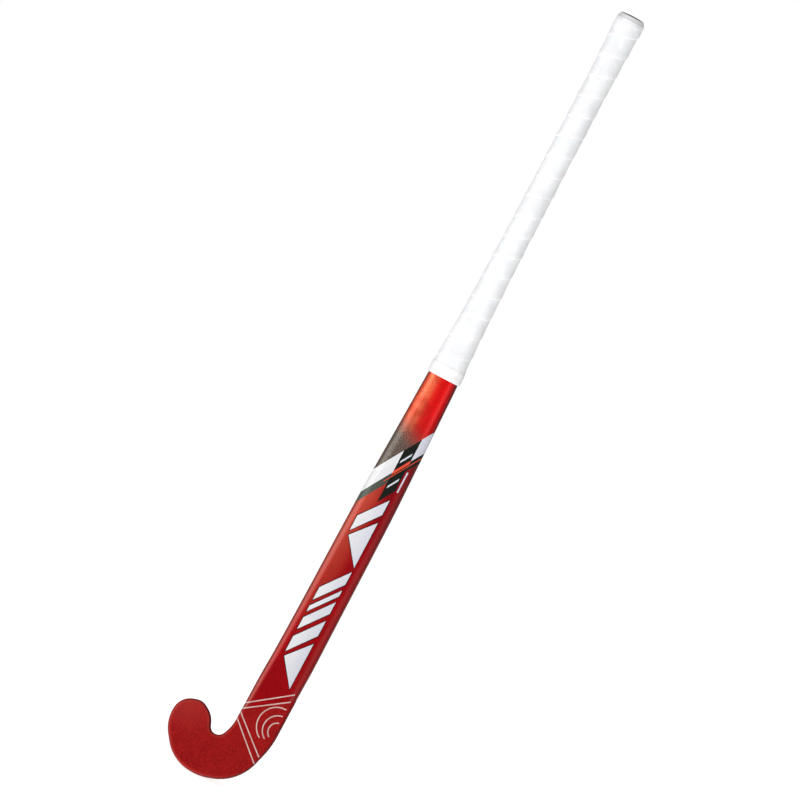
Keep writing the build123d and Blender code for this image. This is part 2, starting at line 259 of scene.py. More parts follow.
def crown(distance):
    """How far the middle of the front face stands proud of its edges."""
    return 0.7 * smoothstep(130, 330, distance) * (1 - smoothstep(500, 560, distance))


def front_depth(x, distance, inset, grow=0.0):
    """Where the front surface lies, behind the spine; inset is how far x is in from the edge."""
    width, centre, thickness, front, _ = section(distance)
    rounded = min(max(1 - inset / (front_reach(distance) + grow), 0.0), 1.0)
    flat = sqrt(1 - rounded**2)
    drop = crown(distance) * ((x - centre) / (width / 2)) ** 2
    return -thickness / 2 - grow + (front + grow) * (1 - flat) + drop * flat


def back_depth(x, distance, inset, grow=0.0):
    """Where the back surface lies, behind the spine; inset is how far x is in from the edge."""
    _, _, thickness, _, back = section(distance)
    rounded = min(max(1 - inset / (back + 1.0 + grow), 0.0), 1.0)
    return thickness / 2 + grow - (back + grow) * (1 - sqrt(1 - rounded**2))


def head_outline():
    """The head's outline from heel to toe, as (x, distance, outward x, outward distance)."""
    start, end = (SHAFT_RIGHT, HEAD_TOP), (SHAFT_LEFT, HEAD_TOP)
    points = [Vector(p) for p in (start, *[corner for corner, _ in HEAD_CORNERS], end)]
    samples = [(*start, 1.0, 0.0)]
    for index, (_, radius) in enumerate(HEAD_CORNERS):
        before, corner, after = points[index:index + 3]
        into, out = (corner - before).normalized(), (after - corner).normalized()
        turn = atan2(into.x * out.y - into.y * out.x, into.dot(out))
        side = 1 if turn > 0 else -1
        first = corner - into * radius * tan(abs(turn) / 2)
        centre = first + Vector((-into.y, into.x)) * radius * side
        steps = max(ceil(abs(turn) * radius / 2.0), ceil(abs(turn) / radians(7)))
        for step in range(steps + 1):
            heading = Matrix.Rotation(turn * step / steps, 2) @ into
            outward = Vector((-heading.y, heading.x))
            at = centre - outward * radius * side
            samples.append((at.x, at.y, outward.x, outward.y))
    samples.append((*end, -1.0, 0.0))
    return samples


def filled_in(samples, spacing):
    """The same samples with the long gaps between them divided evenly."""
    filled = [samples[0]]
    for before, after in zip(samples, samples[1:]):
        gap = hypot(after[0] - before[0], after[1] - before[1])
        parts = max(ceil(gap / spacing), 1)
        if gap < 1e-6:
            continue
        for k in range(1, parts + 1):
            filled.append(tuple(a + (b - a) * k / parts for a, b in zip(before, after)))
    return filled


OUTLINE = filled_in(head_outline(), 3.0)


def inset_at(x, distance):
    """How far a point of the front view is in from the stick's edge."""
    if distance > 100:
        width, centre = section(distance)[:2]
        return width / 2 - abs(x - centre)
    nearest = 1e9
    for before, after in zip(OUTLINE, OUTLINE[1:]):
        ax, ad = after[0] - before[0], after[1] - before[1]
        share = ((x - before[0]) * ax + (distance - before[1]) * ad) / (ax * ax + ad * ad)
        share = min(max(share, 0.0), 1.0)
        nearest = min(nearest, hypot(x - before[0] - ax * share, distance - before[1] - ad * share))
    return nearest


# --- meshes ---
def write_back(work, mesh, crease):
    """Put an edited mesh back, smooth-shaded and sharp where it turns by more than crease."""
    bmesh.ops.recalc_face_normals(work, faces=work.faces)
    work.to_mesh(mesh)
    work.free()
    mesh.polygons.foreach_set("use_smooth", [True] * len(mesh.polygons))
    mesh.set_sharp_from_angle(angle=radians(crease))


def linked(name, data):
    """A new object in the scene."""
    made = bpy.data.objects.new(name, data)
    bpy.context.scene.collection.objects.link(made)
    return made


def build(name, verts, faces, crease=35):
    """A mesh object from points in millimetres."""
    mesh = bpy.data.meshes.new(name)
    mesh.from_pydata([Vector(v) * MM for v in verts], [], faces)
    work = bmesh.new()
    work.from_mesh(mesh)
    write_back(work, mesh, crease)
    return linked(name, mesh)


def grid_faces(rows, columns, start=0, closed=False):
    """Quads over a grid of points stored row by row; closed joins the last column to the first."""
    faces = []
    for row in range(rows - 1):
        for column in range(columns if closed else columns - 1):
            right = (column + 1) % columns
            a, b = start + row * columns, start + (row + 1) * columns
            faces.append((a + column, a + right, b + right, b + column))
    return faces


def sheet(outer, inner, closed=False):
    """Points and faces of a thin closed sheet between two grids of points."""
    rows, columns = len(outer), len(outer[0])
    count = rows * columns
    verts = [point for grid in (outer, inner) for row in grid for point in row]
    faces = grid_faces(rows, columns, 0, closed)
    faces += [face[::-1] for face in grid_faces(rows, columns, count, closed)]
    ends = [[row * columns + c for c in range(columns)] for row in (0, rows - 1)]
    if closed:
        ends = [end + end[:1] for end in ends]
    sides = [] if closed else [[r * columns + c for r in range(rows)] for c in (0, columns - 1)]
    for edge in ends + sides:
        faces += [(a, b, b + count, a + count) for a, b in zip(edge, edge[1:])]
    return verts, faces


def joined(parts):
    """Several (points, faces) as one."""
    verts, faces = [], []
    for more_verts, more_faces in parts:
        start = len(verts)
        verts += more_verts
        faces += [tuple(index + start for index in face) for face in more_faces]
    return verts, faces


def edge_profile(distance, x, across, grow):
    """Round one edge of the stick from front to back, as (inset, depth)."""
    width, centre, thickness, front, back = section(distance)
    reach, back_reach = front_reach(distance) + grow, back + 1.0 + grow
    half = width / 2 + grow
    margin = 0.35 * min(half - reach, half - back_reach, 3.0)
    points = []
    for inset in [reach + margin] + [reach * (1 - cos(radians(90 - 9 * k))) for k in range(11)]:
        at = x + across * (grow - inset) if distance >= HEAD_TOP else centre
        points.append((inset, front_depth(at, distance, inset, grow)))
    low, high = -thickness / 2 + front, thickness / 2 - back
    points += [(0.0, low + (high - low) * k / 3) for k in (1, 2)]
    for inset in [back_reach * (1 - cos(radians(7.5 * k))) for k in range(13)] + [back_reach + margin]:
        points.append((inset, back_depth(x, distance, inset, grow)))
    return points


def skin(grow, top, head_top=HEAD_TOP):
    """The stick's surface moved out by grow, open at its top: points, faces and the open rim."""
    steps = max(ceil((top - head_top) / 4.0), 1)
    distances = [top + (head_top - top) * k / steps for k in range(steps + 1)]
    right, left = [], []
    for distance in distances:
        width, centre = section(distance)[:2]
        right.append((centre + width / 2, distance, 1.0, 0.0))
        left.append((centre - width / 2, distance, -1.0, 0.0))
    rows = right + OUTLINE[1:-1] + left[::-1]
    verts, faces = [], []
    for x, distance, across, along in rows:
        for inset, depth in edge_profile(distance, x, across, grow):
            away = grow - inset
            verts.append(place(x + across * away, depth, distance + along * away))
    columns = len(verts) // len(rows)
    faces += grid_faces(len(rows), columns)
    rim = list(range(columns))
    last = (len(rows) - 1) * columns
    for side, inner in ((0, 8), (columns - 1, 4)):
        surface = front_depth if side == 0 else back_depth
        lines = []
        for k, distance in enumerate(distances):
            start, end = k * columns + side, last - k * columns + side
            line = [start]
            for part in range(1, inner + 1):
                x = verts[start].x + (verts[end].x - verts[start].x) * part / (inner + 1)
                line.append(len(verts))
                verts.append(place(x, surface(x, distance, inset_at(x, distance) + grow, grow), distance))
            lines.append(line + [end])
        for upper, lower in zip(lines, lines[1:]):
            faces += [(upper[k], upper[k + 1], lower[k + 1], lower[k]) for k in range(inner + 1)]
        around_head = [row * columns + side for row in range(steps, len(rows) - steps)]
        faces.append(tuple(around_head[:-1] + lines[-1][::-1][:-1]))
        if side == 0:
            front_line = lines[0]
        else:
            rim += lines[0][1:-1] + list(range(last + columns - 1, last - 1, -1)) + front_line[1:-1][::-1]
    return verts, faces, rim


def wall(outer, inner):
    """A closed shell between two skins, with a rim at the top."""
    verts, faces = joined([outer[:2], (inner[0], [face[::-1] for face in inner[1]])])
    start = len(outer[0])
    outer_rim, inner_rim = outer[2], [index + start for index in inner[2]]
    for k in range(len(outer_rim)):
        after = (k + 1) % len(outer_rim)
        faces.append((outer_rim[k], outer_rim[after], inner_rim[after], inner_rim[k]))
    return verts, faces


def cut_below_line(piece, start, end):
    """Cut a shell on its line seen from the front, keep what lies below, and close the cut."""
    across, up = end[0] - start[0], end[1] - start[1]
    point = Vector((start[0], 0, start[1] + FOOT_HEIGHT)) * MM
    work = bmesh.new()
    work.from_mesh(piece.data)
    everything = work.verts[:] + work.edges[:] + work.faces[:]
    bmesh.ops.bisect_plane(work, geom=everything, plane_co=point, plane_no=(1, 0, 0), dist=1e-7)
    limit = start[0] * MM - 1e-6
    faces = [face for face in work.faces if all(v.co.x > limit for v in face.verts)]
    edges = [edge for edge in work.edges if all(v.co.x > limit for v in edge.verts)]
    verts = [v for v in work.verts if v.co.x > limit]
    below = (-up, 0, across)
    bmesh.ops.bisect_plane(
        work, geom=verts + edges + faces, plane_co=point, plane_no=below, clear_outer=True, dist=1e-7,
    )
    bmesh.ops.bridge_loops(work, edges=[edge for edge in work.edges if edge.is_boundary])
    write_back(work, piece.data, 35)


# --- films that wrap round the shaft ---
def half_ring(side):
    """Columns from the front, round one side, to the back, as (side, face, share)."""
    front = [(side, "front", k / 16) for k in range(17)]
    middle = [(side, "side", k / 3) for k in (1, 2)]
    return front + middle + [(side, "back", k / 16) for k in range(16, -1, -1)]


def round_point(distance, column, cut, lift):
    """A point of the shaft; the column's share runs from x = cut to the edge, or down the side."""
    side, face, share = column
    width, centre, thickness, front, back = section(distance)
    edge = centre + side * (width / 2 + lift)
    if face == "side":
        low, high = -thickness / 2 + front, thickness / 2 - back
        return place(edge, low + (high - low) * share, distance)
    x = cut + (edge - cut) * sin(share * pi / 2)
    surface = front_depth if face == "front" else back_depth
    return place(x, surface(x, distance, abs(edge - x), lift), distance)


def on_slant(column, cut, lift, base):
    """Distance above the foot where a column meets the slanted line through base."""
    distance = base
    for _ in range(6):
        point = round_point(distance, column, cut, lift)
        distance += base + SLANT * point.x - height(point)
    return distance


def film(columns, cut, low, high, closed=False, top=None):
    """A slanted film between two heights at the middle of the shaft; top is a level upper edge."""
    count = ceil((high - low) / 3.0) + 1
    grids = []
    for lift in (FILM_LIFT, FILM_LIFT - FILM_DEPTH):
        lines = []
        for column in columns:
            start = on_slant(column, cut, FILM_LIFT, low)
            end = top or on_slant(column, cut, FILM_LIFT, high)
            steps = [start + (end - start) * k / count for k in range(count + 1)]
            lines.append([round_point(distance, column, cut, lift) for distance in steps])
        grids.append([list(row) for row in zip(*lines)])
    return sheet(*grids, closed)


def all_round(low, high, top):
    """A film that runs right round the shaft, up to a level edge at top."""
    right, left = half_ring(1), half_ring(-1)[::-1]
    return film(right + left[1:-1], 0.0, low, high, closed=True, top=top)


def beside_column(low, high):
    """Two films, left and right of the black column, from the front round to the back."""
    return [
        film(half_ring(-1), COLUMN_LEFT - FILM_GAP, low, high),
        film(half_ring(1), COLUMN_RIGHT + FILM_GAP, low, high),
    ]


def seen_at(x, rise, surface, lift):
    """The point of the front or back surface seen at (x, height) from the front."""
    distance = rise
    for _ in range(5):
        point = place(x, surface(x, distance, max(inset_at(x, distance), 0.0) + lift, lift), distance)
        distance += rise - height(point)
    return point


def strip(low, high, left, right, surface, lift=FILM_LIFT):
    """A slanted strip between two x values, on the front or the back surface."""
    rows, columns = max(ceil((high - low) / 3.0), 1), max(ceil(right - left), 2)
    grids = []
    for at in (lift, lift - FILM_DEPTH):
        grid = []
        for row in range(rows + 1):
            base = low + (high - low) * row / rows
            line = [left + (right - left) * k / columns for k in range(columns + 1)]
            grid.append([seen_at(x, base + SLANT * x, surface, at) for x in line])
        grids.append(grid)
    return sheet(*grids)


def both_faces(low, high, left, right):
    """The same slanted strip on the front and on the back."""
    return [strip(low, high, left, right, surface) for surface in (front_depth, back_depth)]


# --- decals on the front ---
def decal(grid, lift=DECAL_LIFT, closed=False):
    """A thin sheet on the front over a grid of (x, height)."""
    outer, inner = [
        [[seen_at(x, rise, front_depth, at) for x, rise in row] for row in grid]
        for at in (lift, lift - DECAL_DEPTH)
    ]
    return sheet(outer, inner, closed)


def mix(a, b, share):
    """The point a share of the way from a to b."""
    return tuple(p + (q - p) * share for p, q in zip(a, b))


def patch(corners):
    """A four-sided decal; its corners run round it, the first and the last at its left."""
    a, b, c, d = corners
    rows = max(ceil(abs(d[1] - a[1]) / 3), ceil(abs(c[1] - b[1]) / 3), 1)
    edges = [(mix(a, d, row / rows), mix(b, c, row / rows)) for row in range(rows + 1)]
    return decal([[mix(left, right, k / 6) for k in range(7)] for left, right in edges])


def bar(low, high):
    """Corners of a slanted bar between two heights at the left edge of the blocks."""
    right_low, right_high = low + BLOCK_RISE, high + BLOCK_RISE
    return [(BLOCK_LEFT, low), (BLOCK_RIGHT, right_low), (BLOCK_RIGHT, right_high), (BLOCK_LEFT, high)]


def fin(low):
    """Corners of a triangle with a blunt tip at the left edge of the blocks."""
    left, tip, high = BLOCK_LEFT + FIN_INSET, low + FIN_POINT, low + FIN_HEIGHT
    return [(left, tip - FIN_BLUNT), (BLOCK_RIGHT, low), (BLOCK_RIGHT, high), (left, tip + FIN_BLUNT)]


def outset(corners, amount):
    """The corners of a shape that runs anticlockwise, with every side moved out."""
    moved = []
    for before, corner, after in zip(corners[-1:] + corners, corners, corners[1:] + corners[:1]):
        into = Vector((corner[0] - before[0], corner[1] - before[1])).normalized()
        out = Vector((after[0] - corner[0], after[1] - corner[1])).normalized()
        first, second = Vector((into.y, -into.x)), Vector((out.y, -out.x))
        bisector = (first + second) / (1 + max(first.dot(second), -0.6))
        moved.append((corner[0] + bisector.x * amount, corner[1] + bisector.y * amount))
    return moved


def keyline(corners):
    """A thin outline round a block."""
    near, far = outset(corners, 0.0), outset(corners, KEYLINE)
    lines = []
    for (a, b), (c, d) in zip(zip(near, near[1:] + near[:1]), zip(far, far[1:] + far[:1])):
        parts = max(ceil(hypot(b[0] - a[0], b[1] - a[1]) / 4), 1)
        lines += [[mix(a, b, k / parts), mix(c, d, k / parts)] for k in range(parts)]
    return decal([list(row) for row in zip(*lines)], KEYLINE_LIFT, closed=True)


def trace(points):
    """A pinstripe along a line of (x, height)."""
    grid = []
    for index, (x, rise) in enumerate(points):
        before, after = points[max(index - 1, 0)], points[min(index + 1, len(points) - 1)]
        along = Vector((after[0] - before[0], after[1] - before[1])).normalized()
        offsets = [STRIPE_WIDTH * share for share in (-0.5, -0.17, 0.17, 0.5)]
        grid.append([(x - along.y * offset, rise + along.x * offset) for offset in offsets])
    return decal(grid)


def arc_through(start, middle, end, steps=40):
    """Points along the circle through three points."""
    (ax, ay), (bx, by), (cx, cy) = start, middle, end
    d = 2 * (ax * (by - cy) + bx * (cy - ay) + cx * (ay - by))
    a2, b2, c2 = ax * ax + ay * ay, bx * bx + by * by, cx * cx + cy * cy
    x = (a2 * (by - cy) + b2 * (cy - ay) + c2 * (ay - by)) / d
    y = (a2 * (cx - bx) + b2 * (ax - cx) + c2 * (bx - ax)) / d
    radius = hypot(ax - x, ay - y)
    first, second = atan2(ay - y, ax - x), atan2(by - y, bx - x)
    last = atan2(cy - y, cx - x)
    sweep = (last - first) % (2 * pi)
    if (second - first) % (2 * pi) > sweep:
        sweep -= 2 * pi
    turns = [first + sweep * k / steps for k in range(steps + 1)]
    return [(x + radius * cos(turn), y + radius * sin(turn)) for turn in turns]


# --- grip, cap and disc ---
def handle_point(turn, distance, lift):
    """A point round the handle; turn runs from 0 at the front, by way of the heel side, to 1."""
    width, centre, thickness, front, back = section(distance)
    half, depth = width / 2 + lift, thickness / 2 + lift
    front, back = front + lift, back + lift
    runs = [half - front, front * pi / 2, 2 * depth - front - back, back * pi / 2, half - back]
    side = 1 if turn <= 0.5 else -1
    along = 2 * min(turn, 1 - turn) * sum(runs)
    index = 0
    while index < 4 and along > runs[index]:
        along -= runs[index]
        index += 1
    if index == 0:
        x, y = along, -depth
    elif index == 1:
        x, y = half - front + front * sin(along / front), front - depth - front * cos(along / front)
    elif index == 2:
        x, y = half, front - depth + along
    elif index == 3:
        x, y = half - back + back * cos(along / back), depth - back + back * sin(along / back)
    else:
        x, y = half - back - along, depth
    return place(centre + side * x, y, distance)


def tape_height(share):
    """Height of the wound tape over one turn: a rounded lower edge that sinks to the next turn."""
    edge = smoothstep(0.0, 0.045, share)
    lap = 1 - smoothstep(0.10, 0.45, share)
    belly = sin(pi * min(share / 0.9, 1.0))
    return TAPE_BASE + edge * (LAP_RISE * lap + BELLY_RISE * belly)


def wound_grip():
    """Grip tape wound up the handle in one helix, running past both ends so that it can be cut level."""
    shares = [0.0, 0.012, 0.025, 0.045, 0.07]
    shares += [0.10 + 0.9 * k / (TURN_ROWS - 5) for k in range(TURN_ROWS - 5)]
    turns = ceil((GRIP_TOP - GRIP_FOOT) / GRIP_PITCH) + 2
    verts = []
    for turn in range(-2, turns):
        for share in shares:
            for side in range(GRIP_SIDES):
                round_share = side / GRIP_SIDES
                distance = GRIP_FOOT + (turn + share + round_share) * GRIP_PITCH
                at = min(max(distance, GRIP_FOOT - GRIP_OVERRUN), GRIP_TOP + GRIP_OVERRUN)
                pull = Vector((sin(2 * pi * round_share) * 1.4, cos(2 * pi * round_share) * 1.4, at * 0.055))
                fine = noise.noise(pull * 3.1 + Vector((7, 3, 5)))
                crease = noise.noise(pull) * CREASE_RISE + fine * FINE_CREASE_RISE
                swell = FOOT_SWELL * (1 - smoothstep(4, 34, at - GRIP_FOOT))
                swell += TOP_SWELL * smoothstep(-16, -4, at - GRIP_TOP)
                lift = tape_height(share) + crease + swell
                verts.append(handle_point(round_share, at, lift) + Vector((0, 0, distance - at)))
    rows = len(verts) // GRIP_SIDES
    faces = grid_faces(rows, GRIP_SIDES)
    step = len(shares)
    for row in range(rows - step - 1):
        a, b = row * GRIP_SIDES + GRIP_SIDES - 1, (row + step) * GRIP_SIDES
        faces.append((a, b, b + GRIP_SIDES, a + GRIP_SIDES))
    return verts, faces


def level_ends(piece, low, high):
    """Trim the winding level at both ends, round its rims in and line it along the handle."""
    work = bmesh.new()
    work.from_mesh(piece.data)
    for at, normal in ((low, (0, 0, -1)), (high, (0, 0, 1))):
        everything = work.verts[:] + work.edges[:] + work.faces[:]
        point = (0, 0, (at - GRIP_CENTRE) * MM)
        bmesh.ops.bisect_plane(
            work, geom=everything, plane_co=point, plane_no=normal, clear_outer=True, dist=1e-7,
        )
    rims = [edge for edge in work.edges if edge.is_boundary]
    for sink, rise in GRIP_RIMS:
        grown = bmesh.ops.extrude_edge_only(work, edges=rims)["geom"]
        for vert in [item for item in grown if isinstance(item, bmesh.types.BMVert)]:
            out = Vector((vert.co.x, vert.co.y, 0)).normalized()
            vert.co -= out * sink * MM
            vert.co.z += (rise if vert.co.z > 0 else -rise) * MM
        rims = [item for item in grown if isinstance(item, bmesh.types.BMEdge)]
    steps = ceil((high - low) / LINING_SPACING)
    rings = []
    for step in range(steps + 1):
        at = low + LINING_MARGIN + (high - low - 2 * LINING_MARGIN) * step / steps
        ring = [handle_point(side / GRIP_SIDES, at, LINING_LIFT) for side in range(GRIP_SIDES)]
        rings.append([work.verts.new(point * MM) for point in ring])
    for lower, upper in zip(rings, rings[1:]):
        for a, b, c, d in zip(lower, lower[1:] + lower[:1], upper[1:] + upper[:1], upper):
            work.faces.new((a, b, c, d))
    for ring, at_top in ((rings[0], False), (rings[-1], True)):
        inner = [work.edges.get(pair) for pair in zip(ring, ring[1:] + ring[:1])]
        outer = [edge for edge in rims if (edge.verts[0].co.z > 0) == at_top]
        bmesh.ops.bridge_loops(work, edges=inner + outer)
    write_back(work, piece.data, 50)


def tape_band(low, high, lift, thickness):
    """A flat tape round the handle, with softened edges and slight creases."""
    count = 14
    outer, inner = [], []
    for row in range(count + 1):
        share = row / count
        distance = low + (high - low) * share
        ease = sqrt(max(1 - (2 * share - 1) ** 10, 0.0))
        line = []
        for side in range(GRIP_SIDES):
            turn = side / GRIP_SIDES
            pull = Vector((sin(2 * pi * turn) * 2, cos(2 * pi * turn) * 2, distance * 0.12))
            line.append(handle_point(turn, distance, lift + thickness * ease + noise.noise(pull) * 0.12))
        outer.append(line)
        inner.append([handle_point(side / GRIP_SIDES, distance, lift - 0.8) for side in range(GRIP_SIDES)])
    return sheet(outer, inner, closed=True)


def turned(profile, sides, ribbed=()):
    """A closed turned solid from a profile of (radius, distance), with ribs on some of its rows."""
    verts, faces = [], []
    for index, (radius, distance) in enumerate(profile[1:-1]):
        for side in range(sides):
            angle = 2 * pi * side / sides
            r = radius - (RIB_DEPTH * (side % 2) if index in ribbed else 0.0)
            verts.append((r * cos(angle), r * sin(angle), distance - GRIP_CENTRE))
    rows = len(profile) - 2
    faces = grid_faces(rows, sides, closed=True)
    for (_, distance), row in ((profile[0], 0), (profile[-1], rows - 1)):
        verts.append((0, 0, distance - GRIP_CENTRE))
        faces += [(row * sides + k, row * sides + (k + 1) % sides, len(verts) - 1) for k in range(sides)]
    return verts, faces


# --- materials ---
materials = {}


class Paint:
    """A material with a Principled shader, and short calls to add nodes to it."""

    def __init__(self, name, **sockets):
        materials[name] = made = bpy.data.materials.new(name)
        made.use_nodes = True
        self.tree = made.node_tree
        self.shader = self.tree.nodes["Principled BSDF"]
        for socket, value in sockets.items():
            self.shader.inputs[socket.replace("_", " ")].default_value = value
        coordinates = self.add("TexCoord").outputs
        self.where, self.facing = coordinates["Object"], coordinates["Normal"]

    def add(self, kind, inputs=None, **settings):
        """Add a node; inputs are sockets to link or values to set, by name or number."""
        node = self.tree.nodes.new("ShaderNode" + kind)
        for key, value in settings.items():
            setattr(node, key, value)
        for key, value in (inputs or {}).items():
            if isinstance(value, bpy.types.NodeSocket):
                self.tree.links.new(value, node.inputs[key])
            else:
                node.inputs[key].default_value = value
        return node

    def noise(self, scale, detail=3.0):
        inputs = {"Vector": self.where, "Scale": scale, "Detail": detail}
        return self.add("TexNoise", inputs).outputs["Fac"]

    def cells(self, scale, feature="F1", output="Distance"):
        inputs = {"Vector": self.where, "Scale": scale}
        return self.add("TexVoronoi", inputs, feature=feature).outputs[output]

    def math(self, operation, first, second=0.0):
        return self.add("Math", {0: first, 1: second}, operation=operation).outputs[0]

    def times(self, first, second):
        return self.math("MULTIPLY", first, second)

    def fade(self, value, low, high, start=0.0, end=1.0):
        """value, mapped from low..high to start..end and held at both ends."""
        inputs = {"Value": value, "From Min": low, "From Max": high, "To Min": start, "To Max": end}
        return self.add("MapRange", inputs, interpolation_type="SMOOTHSTEP").outputs["Result"]

    def part(self, axis, where=None):
        return self.add("SeparateXYZ", {0: where or self.where}).outputs[axis]

    def across(self, low, high, start=0.0, end=1.0):
        """A fade between two x values, in metres; low may lie past high."""
        return self.fade(self.part("X"), low, high, start, end)

    def upward(self, low, high, start=0.0, end=1.0):
        """A fade between two heights above the foot, in metres."""
        return self.fade(self.part("Z"), FOOT_Z + low, FOOT_Z + high, start, end)

    def rounding(self, most):
        """Rises to most where the flat side starts to turn to the stick's edges."""
        return self.fade(self.math("ABSOLUTE", self.part("Y", self.facing)), 0.90, 0.985, most, 0.0)

    def edge_shade(self, most, toe, heel):
        """Rises to most where the surface turns away from the flat side, a mask for painted shade at the
        edges; toe and heel say how early.
        """
        early = self.fade(self.part("X", self.facing), -0.3, 0.3, toe, heel)
        late = self.math("SUBTRACT", early, 0.4)
        return self.fade(self.math("ABSOLUTE", self.part("Y", self.facing)), late, early, most, 0.0)

    def blend(self, share, first, second):
        node = self.add("Mix", {"Factor": share}, data_type="RGBA")
        for socket, value in ((node.inputs[6], first), (node.inputs[7], second)):
            if isinstance(value, bpy.types.NodeSocket):
                self.tree.links.new(value, socket)
            else:
                socket.default_value = (*value, 1.0)
        return node.outputs[2]

    def bump(self, value, depth, normal=None):
        """Normals that rise by depth millimetres where value is 1."""
        node = self.add("Bump", {"Height": value, "Distance": depth * MM, "Strength": 1.0})
        if normal:
            self.tree.links.new(normal, node.inputs["Normal"])
        return node.outputs["Normal"]

    def wire(self, **outputs):
        for socket, value in outputs.items():
            self.tree.links.new(value, self.shader.inputs[socket.replace("_", " ")])


def candy_red():
    """Metallic red lacquer with fine flakes under a clear coat."""
    paint = Paint(
        "painted_laminate", Metallic=0.8, Specular_IOR_Level=0.15,
        Coat_Weight=0.4, Coat_Roughness=0.15, Coat_IOR=1.45,
    )
    sparkle = paint.part("X", paint.cells(1900.0, output="Color"))
    body = paint.blend(paint.fade(sparkle, 0.0, 1.0), (0.28, 0.0008, 0.0025), (0.41, 0.002, 0.006))
    cloud = paint.fade(paint.noise(35.0, 2.0), 0.35, 0.65)
    body = paint.blend(paint.times(cloud, 0.3), body, (0.25, 0.0008, 0.004))
    # painted shade, a darker red at the heel side, and painted highlight, warmer at the toe side, both more
    # so up the shaft
    heel_shade = paint.times(paint.across(0.0, 0.010), paint.upward(0.22, 0.36))
    warm = paint.times(paint.across(0.007, -0.011), paint.upward(0.15, 0.37))
    body = paint.blend(paint.times(heel_shade, 0.8), body, (0.19, 0.0008, 0.005))
    colour = paint.blend(paint.times(warm, 0.85), body, (0.52, 0.066, 0.038))
    # painted highlights: paler strips where the two edges start to round; painted shade: dark past them
    beside = paint.math("ADD", paint.part("X"), paint.upward(0.12, 0.33, 0.0045, 0.0))
    colour = paint.blend(paint.fade(beside, -0.012, -0.018, 0.0, 0.6), colour, (0.30, 0.075, 0.055))
    colour = paint.blend(paint.across(0.013, 0.018, 0.0, 0.45), colour, (0.21, 0.030, 0.028))
    colour = paint.blend(paint.edge_shade(0.78, 0.66, 0.84), colour, (0.12, 0.003, 0.004))
    rough = paint.fade(sparkle, 0.0, 1.0, 0.40, 0.52)
    paint.wire(Base_Color=colour, Roughness=rough, Normal=paint.bump(sparkle, 0.010))


def coated_head():
    """Matte, gritty dark red coating."""
    paint = Paint("head_coating", Metallic=0.15, Specular_IOR_Level=0.10)
    speckle = paint.fade(paint.noise(760.0, 2.0), 0.45, 0.64)
    mottle = paint.fade(paint.noise(90.0, 3.0), 0.3, 0.7)
    base = paint.blend(mottle, (0.235, 0.0012, 0.0016), (0.29, 0.0025, 0.0025))
    colour = paint.blend(paint.times(speckle, 0.6), base, (0.40, 0.013, 0.011))
    # painted highlight at the toe's tip and along the rim of the hook, and painted shade past the rim
    toe_highlight = paint.times(paint.across(-0.035, -0.080), paint.upward(0.025, 0.065))
    colour = paint.blend(paint.times(toe_highlight, 0.45), colour, (0.42, 0.035, 0.028))
    rim = paint.times(paint.rounding(0.32), paint.across(0.012, -0.030))
    colour = paint.blend(rim, colour, (0.50, 0.060, 0.050))
    colour = paint.blend(paint.edge_shade(0.8, 0.74, 0.90), colour, (0.095, 0.002, 0.003))
    rough = paint.fade(paint.noise(300.0), 0.3, 0.7, 0.45, 0.60)
    normal = paint.bump(paint.cells(900.0), 0.05, paint.bump(paint.noise(1500.0, 2.0), 0.05))
    paint.wire(Base_Color=colour, Roughness=rough, Normal=normal)


